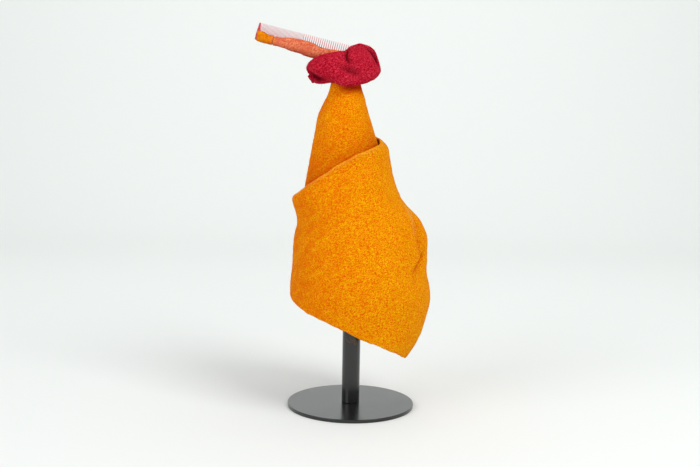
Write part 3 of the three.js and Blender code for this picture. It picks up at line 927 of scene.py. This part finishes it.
def crown_skin():
    """The crown's outer skin and the shade on it."""
    azimuth, rise = grid(*CROWN_GRID)
    rim = wrap_edge("rim", azimuth)
    low = wrap_edge("hem", azimuth) + FELT / 2
    z = low + (CROWN_TIP_Z - low) * (1 - (1 - rise) ** TIP_CROWDING)
    radius = crown_radius(azimuth, z)
    points = on_axis(radius, azimuth, z)
    off_ridge = signed(azimuth) - RIDGE_AZIMUTH - RIDGE_LEAN * (z - RIDGE_Z)
    ridge = np.exp(-(off_ridge / RIDGE_HALF_WIDTH) ** 2)
    ridge = RIDGE_HEIGHT * ridge * fade(np.abs(z - RIDGE_Z), RIDGE_HALF_LENGTH, 0)
    clear = fade(z - rim, 0, CLEAR_OF_RIM) * fade(z, *CLEAR_OF_KNOT_Z)
    spread = HEM_SPREAD * fade(z - low, HEM_SPREAD_HEIGHT, 0)
    skin = on_axis(radius + spread + clear * (bumps(points, CROWN_BUMPS) + ridge), azimuth, z)
    knot_shade = KNOT_SHADE * fade(z, *KNOT_SHADE_Z) * fade(points[..., 0], *KNOT_SHADE_X)
    return skin, np.maximum(rim_shade(points), knot_shade)


def wrap_skin():
    """The wrap's outer skin, and shares of its raised nap with its painted sheen, of the painted highlight on
    its rim and of the painted shade in its crease and beside its buckle.
    """
    azimuth, rise = grid(*WRAP_GRID)
    hem, rim = wrap_edge("hem", azimuth), wrap_edge("rim", azimuth)
    z = hem + (rim - hem) * rise
    radius = wrap_radius(azimuth, z)
    points = on_axis(radius, azimuth, z)
    x = points[..., 0]
    front = fade(-points[..., 1], 0, WRAP_FOLD_FADE)
    buckle_edge, crease = (front * fold_depth(fold_and_painted_shade, x, z) for fold_and_painted_shade in WRAP_FOLDS)
    radius = radius - buckle_edge - crease
    near_rim = fade(rim - z, RIM_TURN_HEIGHT, 0) ** 2
    radius = radius + near_rim * smooth(RIM_TURN, "azimuth", "out", azimuth, 360.0)
    clear = fade(z - hem, 0, CLEAR_OF_HEM)
    wavy = bumps(points, WRAP_EDGE_BUMPS) * (2 * rise - 1) ** 4
    skin = on_axis(radius + clear * (bumps(points, WRAP_BUMPS) + WRAP_STAND_OFF), azimuth, z + wavy)
    # Raised fibres and painted sheen along the buckle's crest
    nap_and_sheen = front * fold_depth(WRAP_NAP_SHEEN, x, z, rolled=True)
    # Painted highlight along the rim's rounded top edge
    wear_and_highlight = RIM_HIGHLIGHT_SHARE * np.exp(-((rim - z) / RIM_HIGHLIGHT_HEIGHT) ** 2)
    # Painted shade in the crease and beside the buckle
    painted_crease_shade = fade(crease, 0, CREASE_SHADE_DEPTH) ** CREASE_SHADE_POWER
    return skin, nap_and_sheen, wear_and_highlight, np.maximum(painted_crease_shade, BUCKLE_SHADE * buckle_depth(azimuth, z))


def oval(middle, across, deep, azimuth, z):
    turn = np.radians(azimuth)
    return np.stack([middle + across * np.cos(turn), deep * np.sin(turn), z], -1)


def knot_skin():
    """The knot's outer skin, and the painted shade in its mouth and its folds."""
    azimuth, rise = grid(*KNOT_GRID)
    at = {name: smooth(KNOT, "azimuth", name, azimuth, 360.0) for name in list(KNOT)[1:]}
    neck = oval(*KNOT_NECK, azimuth, np.full_like(azimuth, KNOT_NECK_Z))
    widest = oval(*KNOT_OUTLINE, azimuth, at["widest"])
    lip = oval(*KNOT_MOUTH, at["gape"], azimuth, at["lip"])
    under = neck + KNOT_UNDER_AT * (widest - neck)
    under[..., 2] = at["under"]
    shoulder = widest + KNOT_SHOULDER_AT * (lip - widest)
    shoulder[..., 2] = at["widest"] + KNOT_SHOULDER_UP * (at["crest"] - at["widest"])
    crest = widest + at["close"][..., None] * (lip - widest)
    crest[..., 2] = at["crest"]
    points = through(np.stack([neck, under, widest, shoulder, crest, lip]), rise)
    x, y, z = (points[..., k] for k in range(3))
    front, back = fade(-y, 0, KNOT_FOLD_FADE), fade(y, 0, KNOT_FOLD_FADE)
    pressed = front * deepest_fold(KNOT_FOLDS, x, z)
    pressed_behind = back * deepest_fold(KNOT_BACK_FOLDS, x, z)
    rolled = front * sum(fold_depth(roll, x, z, rolled=True) for roll in KNOT_ROLLS)
    folded_and_painted_shade = y + pressed + rolled - pressed_behind
    front_wall = np.minimum(folded_and_painted_shade, np.maximum(y, KNOT_MOUTH_WALLS[0]))
    back_wall = np.maximum(folded_and_painted_shade, np.minimum(y, KNOT_MOUTH_WALLS[1]))
    points[..., 1] = np.where(y < 0, front_wall, back_wall)
    # Painted shade in the knot's folds and its mouth
    in_folds = fade(np.maximum(pressed, pressed_behind), 0, KNOT_CREASE_SHADE) ** 2
    shade = KNOT_FOLD_SHADE * np.maximum(fade(rise, *KNOT_MOUTH_RISE), in_folds)
    clear = fade(rise, 0, KNOT_NECK_RISE) * fade(rise, 1, KNOT_LIP_RISE)
    return points + grid_normals(points) * (clear * bumps(points, KNOT_BUMPS))[..., None], shade


# The comb and its sleeves

def on_comb(points):
    """Points given along the comb, across it and up its teeth, put where the comb is."""
    tilt = math.radians(COMB_TILT)
    x, y, z = points[..., 0], points[..., 1], points[..., 2]
    placed = [x * math.cos(tilt) + z * math.sin(tilt), y, z * math.cos(tilt) - x * math.sin(tilt)]
    return np.stack(placed, -1) + np.array(COMB_FREE_END)


def tooth_spans():
    """The left and right root of each tooth, from the buried end to the free end."""
    spans = [(COMB_LENGTH - COMB_END_TOOTH, COMB_LENGTH)]
    right = COMB_LENGTH - COMB_END_TOOTH
    for pitch, down_to in zip(COMB_TEETH["pitch"], COMB_TEETH["down_to"]):
        while right - pitch > down_to:
            root = right - pitch * (1 - TOOTH_SHARE)
            spans.append((root - pitch * TOOTH_SHARE, root))
            right -= pitch
    spans.append((0.0, COMB_END_TOOTH))
    return spans


def comb():
    """The comb's spine with rounded edges, and teeth that taper both ways to their tips."""
    turn = 2 * np.pi * np.arange(COMB_ROUND_STEPS) / COMB_ROUND_STEPS
    across = np.sign(np.cos(turn)) * np.abs(np.cos(turn)) ** SPINE_ROUNDING[0] * COMB_THICKNESS / 2
    up = np.sign(np.sin(turn)) * np.abs(np.sin(turn)) ** SPINE_ROUNDING[1] * COMB_SPINE / 2
    ends = list(zip(SPINE_ENDS["inward"], SPINE_ENDS["share"]))
    stations = ends + [(COMB_LENGTH - inward, share) for inward, share in ends[::-1]]
    rings = []
    for along, share in stations:
        middle = np.full(COMB_ROUND_STEPS, along)
        rings.append(np.stack([middle, across * share, COMB_SPINE / 2 + up * share], -1))
    points = [*np.concatenate(rings)]
    faces = ring_faces(len(rings), COMB_ROUND_STEPS)
    faces.append(list(range(COMB_ROUND_STEPS))[::-1])
    faces.append([(len(rings) - 1) * COMB_ROUND_STEPS + i for i in range(COMB_ROUND_STEPS)])
    for left, right in tooth_spans():
        root = len(points)
        for z, inset, thickness in zip(*TOOTH.values()):
            low, high = left + inset * (right - left), right - inset * (right - left)
            half = thickness / 2
            points += [(low, -half, z), (high, -half, z), (high, half, z), (low, half, z)]
        tip = len(points) - 4
        faces += [[root + k for k in face] for face in ring_faces(len(TOOTH["height"]), 4)]
        faces.append([root + k for k in (3, 2, 1, 0)])
        faces.append([tip + k for k in (0, 1, 2, 3)])
    piece = add_mesh("comb_plastic", on_comb(np.array(points)), faces, acetate, shade_smooth=False)
    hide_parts("comb")


def sleeve_rings(start, end, stations, rows, rounding, reach):
    """Rings along a sleeve, in the comb's own places: its outer face, then its slot. rows are its bumps,
    and rounding how far its two ends are rounded. Its upper edge reaches past its start."""
    along = np.linspace(start, end, stations)
    top, below, side = (smooth(SLEEVE, "along", name, along) for name in ("top", "below", "side"))
    near_end = np.clip(np.minimum((along - start) / rounding[0], (end - along) / rounding[1]), 0, 1)
    plump = np.sqrt(1 - (1 - near_end) ** 2)
    slot = COMB_THICKNESS / 2 + SLEEVE_GAP
    half = slot + SLEEVE_THINNEST + (side - SLEEVE_GAP - SLEEVE_THINNEST) * plump
    low = below * (SLEEVE_END_DROP + (1 - SLEEVE_END_DROP) * plump)
    opening = np.arccos((slot / half) ** (1 / SLEEVE_FLATNESS))
    rings = []
    for k in range(stations):
        turn = np.linspace(opening[k], -np.pi - opening[k], SLEEVE_OUTSIDE_POINTS)
        y = half[k] * np.sign(np.cos(turn)) * np.abs(np.cos(turn)) ** SLEEVE_FLATNESS
        z = (top[k] - low[k]) / 2 + (top[k] + low[k]) / 2 * np.sin(turn)
        outer = np.stack([np.full_like(turn, along[k]), y, z], -1)
        down = np.linspace(z[-1], -SLEEVE_GAP, SLEEVE_SLOT_POINTS + 1)[1:]
        left = np.stack([np.full_like(down, along[k]), np.full_like(down, -slot), down], -1)
        right = left[::-1] * np.array([1, -1, 1])
        rings.append(np.concatenate([outer, left, right]))
    rings = np.stack(rings)
    centre = np.stack([along, np.zeros_like(along), (top - below) / 2], -1)[:, None]
    out = rings - centre
    out[..., 0] = 0.0
    out /= np.linalg.norm(out, axis=-1, keepdims=True)
    rough = bumps(rings, rows) * plump[:, None]
    rough[:, SLEEVE_OUTSIDE_POINTS:] = 0.0
    rings = rings + out * rough[..., None]
    near_start = fade(along - start, TIP_REACH_LENGTH, 0)[:, None]
    from_crest = rings[..., 2] - top[:, None] + TIP_REACH_BELOW_TOP
    rings[..., 0] -= reach * near_start * np.exp(-(from_crest / TIP_REACH_HEIGHT) ** 2)
    return rings


def sleeve(name, node, material, start, end, stations, rows, rounding, mix, seed, reach=0.0):
    """One of the comb's felt sleeves, with its fibres, its shade and the wool mixed into it."""
    rings = sleeve_rings(start, end, stations, rows, rounding, reach)
    sides = rings.shape[1]
    faces = [face[::-1] for face in ring_faces(len(rings), sides)]
    faces.append(list(range(sides)))
    faces.append([(len(rings) - 1) * sides + i for i in range(sides)][::-1])
    piece = add_mesh(name, on_comb(rings).reshape(-1, 3), faces, material)
    skin = on_comb(rings[:, :SLEEVE_OUTSIDE_POINTS])[:, ::-1]
    fibres = int(SLEEVE_FIBRES_PER_MM * (end - start))
    hairs = fuzz(name + "_fuzz", skin, fibres, *SLEEVE_FIBRES, material, seed)
    mark(piece, "fold_and_painted_shade", SLEEVE_SHADE * fade(rings[..., 2], *SLEEVE_SHADE_Z))
    mixed_in = np.interp(rings[..., 0], mix["along"], mix["share"]) + bumps(rings, WISPS)
    mark(piece, "blend_and_highlight", np.clip(mixed_in, 0, 1))
    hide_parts(node)


# Loose ends under the hem

def strand(route, radius=0.25, sides=5, steps=40):
    """A thin round strand through a few points, as rings of points and their faces. It runs across and
    down, so its rings are set square to the depth."""
    rows = np.repeat(np.array(route, float)[:, None], steps, 1)
    points = through(rows, np.linspace(0, 1, steps))
    ahead = np.gradient(points, axis=0)
    ahead /= np.linalg.norm(ahead, axis=1, keepdims=True)
    side = np.cross(ahead, [0.0, 1.0, 0.05])
    side /= np.linalg.norm(side, axis=1, keepdims=True)
    up = np.cross(side, ahead)
    turn = 2 * np.pi * np.arange(sides) / sides
    rings = points[:, None] + radius * (
        side[:, None] * np.cos(turn)[:, None] + up[:, None] * np.sin(turn)[:, None])
    faces = [face[::-1] for face in ring_faces(steps, sides)]
    faces.append(list(range(sides)))
    faces.append([(steps - 1) * sides + i for i in range(sides)][::-1])
    return rings.reshape(-1, 3), faces


def loose_ends():
    points, faces = [], []
    for route in LOOSE_ENDS:
        made, made_faces = strand(route)
        faces += [[len(points) + k for k in face] for face in made_faces]
        points += [*made]
    piece = add_mesh("hem_loose_ends", np.array(points), faces, yarn)
    return piece


# The whole hat


def felt_piece(name, node, material, skin, fibres, marks, closed_tip=False):
    """One of the hat's felt sheets, with its loose fibres and the marks that its felt shows."""
    piece = felt_sheet(name, skin, material, closed_tip)
    hairs = fuzz(name + "_fuzz", skin, fibres, *SHEET_FIBRES, material, seed=fibres)
    for mark_name, shares in marks.items():
        mark(piece, mark_name, shares[::-1] if closed_tip else shares)
    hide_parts(node)


def hat():
    crown, shaded = crown_skin()
    wrap, nap_and_sheen, wear_and_highlight, painted_crease_shade = wrap_skin()
    knot, folded_and_painted_shade = knot_skin()
    ends = loose_ends()
    # Fibres in pale wool along the buckle as painted sheen. The paler share is the painted highlight on the
    # rim and the painted sheen on the buckle.
    sheen_nap_fibres = fuzz("wrap_nap_painted_sheen", wrap, 1800, *NAP_FIBRES, pale_sheen_wool, seed=17, where=nap_and_sheen)
    paler = np.maximum(wear_and_highlight, PAINTED_SHEEN_SHARE * nap_and_sheen)
    # The marks: painted shade on the crown and the knot, and on the wrap painted highlight, painted sheen and
    # painted shade
    felt_piece("crown_felt", "crown", orange_felt, crown, fibres=7000,
               marks={"fold_and_painted_shade": shaded}, closed_tip=True)
    felt_piece("wrap_felt", "wrap", orange_felt, wrap, fibres=14000,
               marks={"blend_and_highlight": paler, "fold_and_painted_shade": painted_crease_shade})
    felt_piece("knot_felt", "knot", red_felt, knot, fibres=6000,
               marks={"fold_and_painted_shade": folded_and_painted_shade})


# The room

def studio():
    """White paper that lies under the stand and curves up behind it."""
    floor_front, floor_back, curve, top = -2600.0, 1500.0, 900.0, 2600.0
    profile = [(floor_front, 0.0), (floor_back, 0.0)]
    for a in np.radians(np.linspace(-80, 0, 16)):
        profile.append((floor_back + curve * math.cos(a), curve + curve * math.sin(a)))
    profile.append((floor_back + curve, top))
    half_width = 3000.0
    points = [(x, y, z) for y, z in profile for x in (-half_width, half_width)]
    faces = [[2 * i, 2 * i + 1, 2 * i + 3, 2 * i + 2] for i in range(len(profile) - 1)]
    mesh = bpy.data.meshes.new("paper_sweep")
    mesh.from_pydata((np.array(points) * MM).tolist(), [], faces)
    mesh.polygons.foreach_set("use_smooth", [True] * len(faces))
    mesh.materials.append(matt_background_paper())
    sweep = bpy.data.objects.new("paper_sweep", mesh)
    bpy.context.scene.collection.objects.link(sweep)


def softbox(name, place, aim, size, watts, colour):
    """A soft rectangular light that is aimed at a point. Places and sizes are in metres."""
    light = bpy.data.lights.new(name, "AREA")
    light.shape = "RECTANGLE"
    light.size, light.size_y = size
    light.energy = watts
    light.color = linear(colour)[:3]
    box = bpy.data.objects.new(name, light)
    box.location = place
    towards = np.array(aim) - np.array(place)
    box.rotation_euler = Vector(towards).to_track_quat("-Z", "Y").to_euler()
    bpy.context.scene.collection.objects.link(box)


def lighting():
    softbox("key_softbox", (1.3, -1.3, 2.0), (0, 0, 0.3), (1.2, 1.2), 32, "#ffffff")
    softbox("fill_softbox", (-2.0, -1.8, 1.5), (0, 0, 0.3), (1.8, 1.8), 31, "#fcfdff")
    softbox("backdrop_softbox", (0, 0.9, 1.5), (0, 2.4, 0.2), (2.4, 0.5), 5.5, "#ffffff")
    world = bpy.data.worlds.new("room_light")
    world.use_nodes = True
    background = world.node_tree.nodes["Background"]
    background.inputs["Color"].default_value = linear("#f6f7f7")
    background.inputs["Strength"].default_value = 0.68
    bpy.context.scene.world = world
    bpy.context.scene.view_settings.view_transform = "Standard"


def camera():
    lens = bpy.data.cameras.new("camera")
    lens.sensor_width = CAMERA_SENSOR
    lens.lens = CAMERA_LENS
    eye = bpy.data.objects.new("camera", lens)
    tilt = Matrix.Rotation(math.radians(90.0 - CAMERA_PITCH_DOWN), 4, "X")
    roll = Matrix.Rotation(math.radians(CAMERA_ROLL), 4, "Z")
    eye.matrix_world = Matrix.Translation([c * MM for c in CAMERA_PLACE]) @ tilt @ roll
    bpy.context.scene.collection.objects.link(eye)
    bpy.context.scene.camera = eye


camera()
studio()
lighting()
stand_base()
stand_post()
hat()
comb()
sleeve("sleeve_coral", "comb_sleeve", coral_felt, SLEEVE_JOIN, SLEEVE_END, stations=110,
       rows=CORAL_BUMPS, rounding=(JOINED_END, ROUNDED_END), mix=CORAL_MIX, seed=36)
sleeve("sleeve_tip", "comb_sleeve_end", tip_felt, SLEEVE_START, SLEEVE_JOIN - SLEEVE_GAP,
       stations=34, rows=TIP_BUMPS, rounding=(ROUNDED_END, JOINED_END), mix=TIP_MIX, seed=46, reach=TIP_REACH)
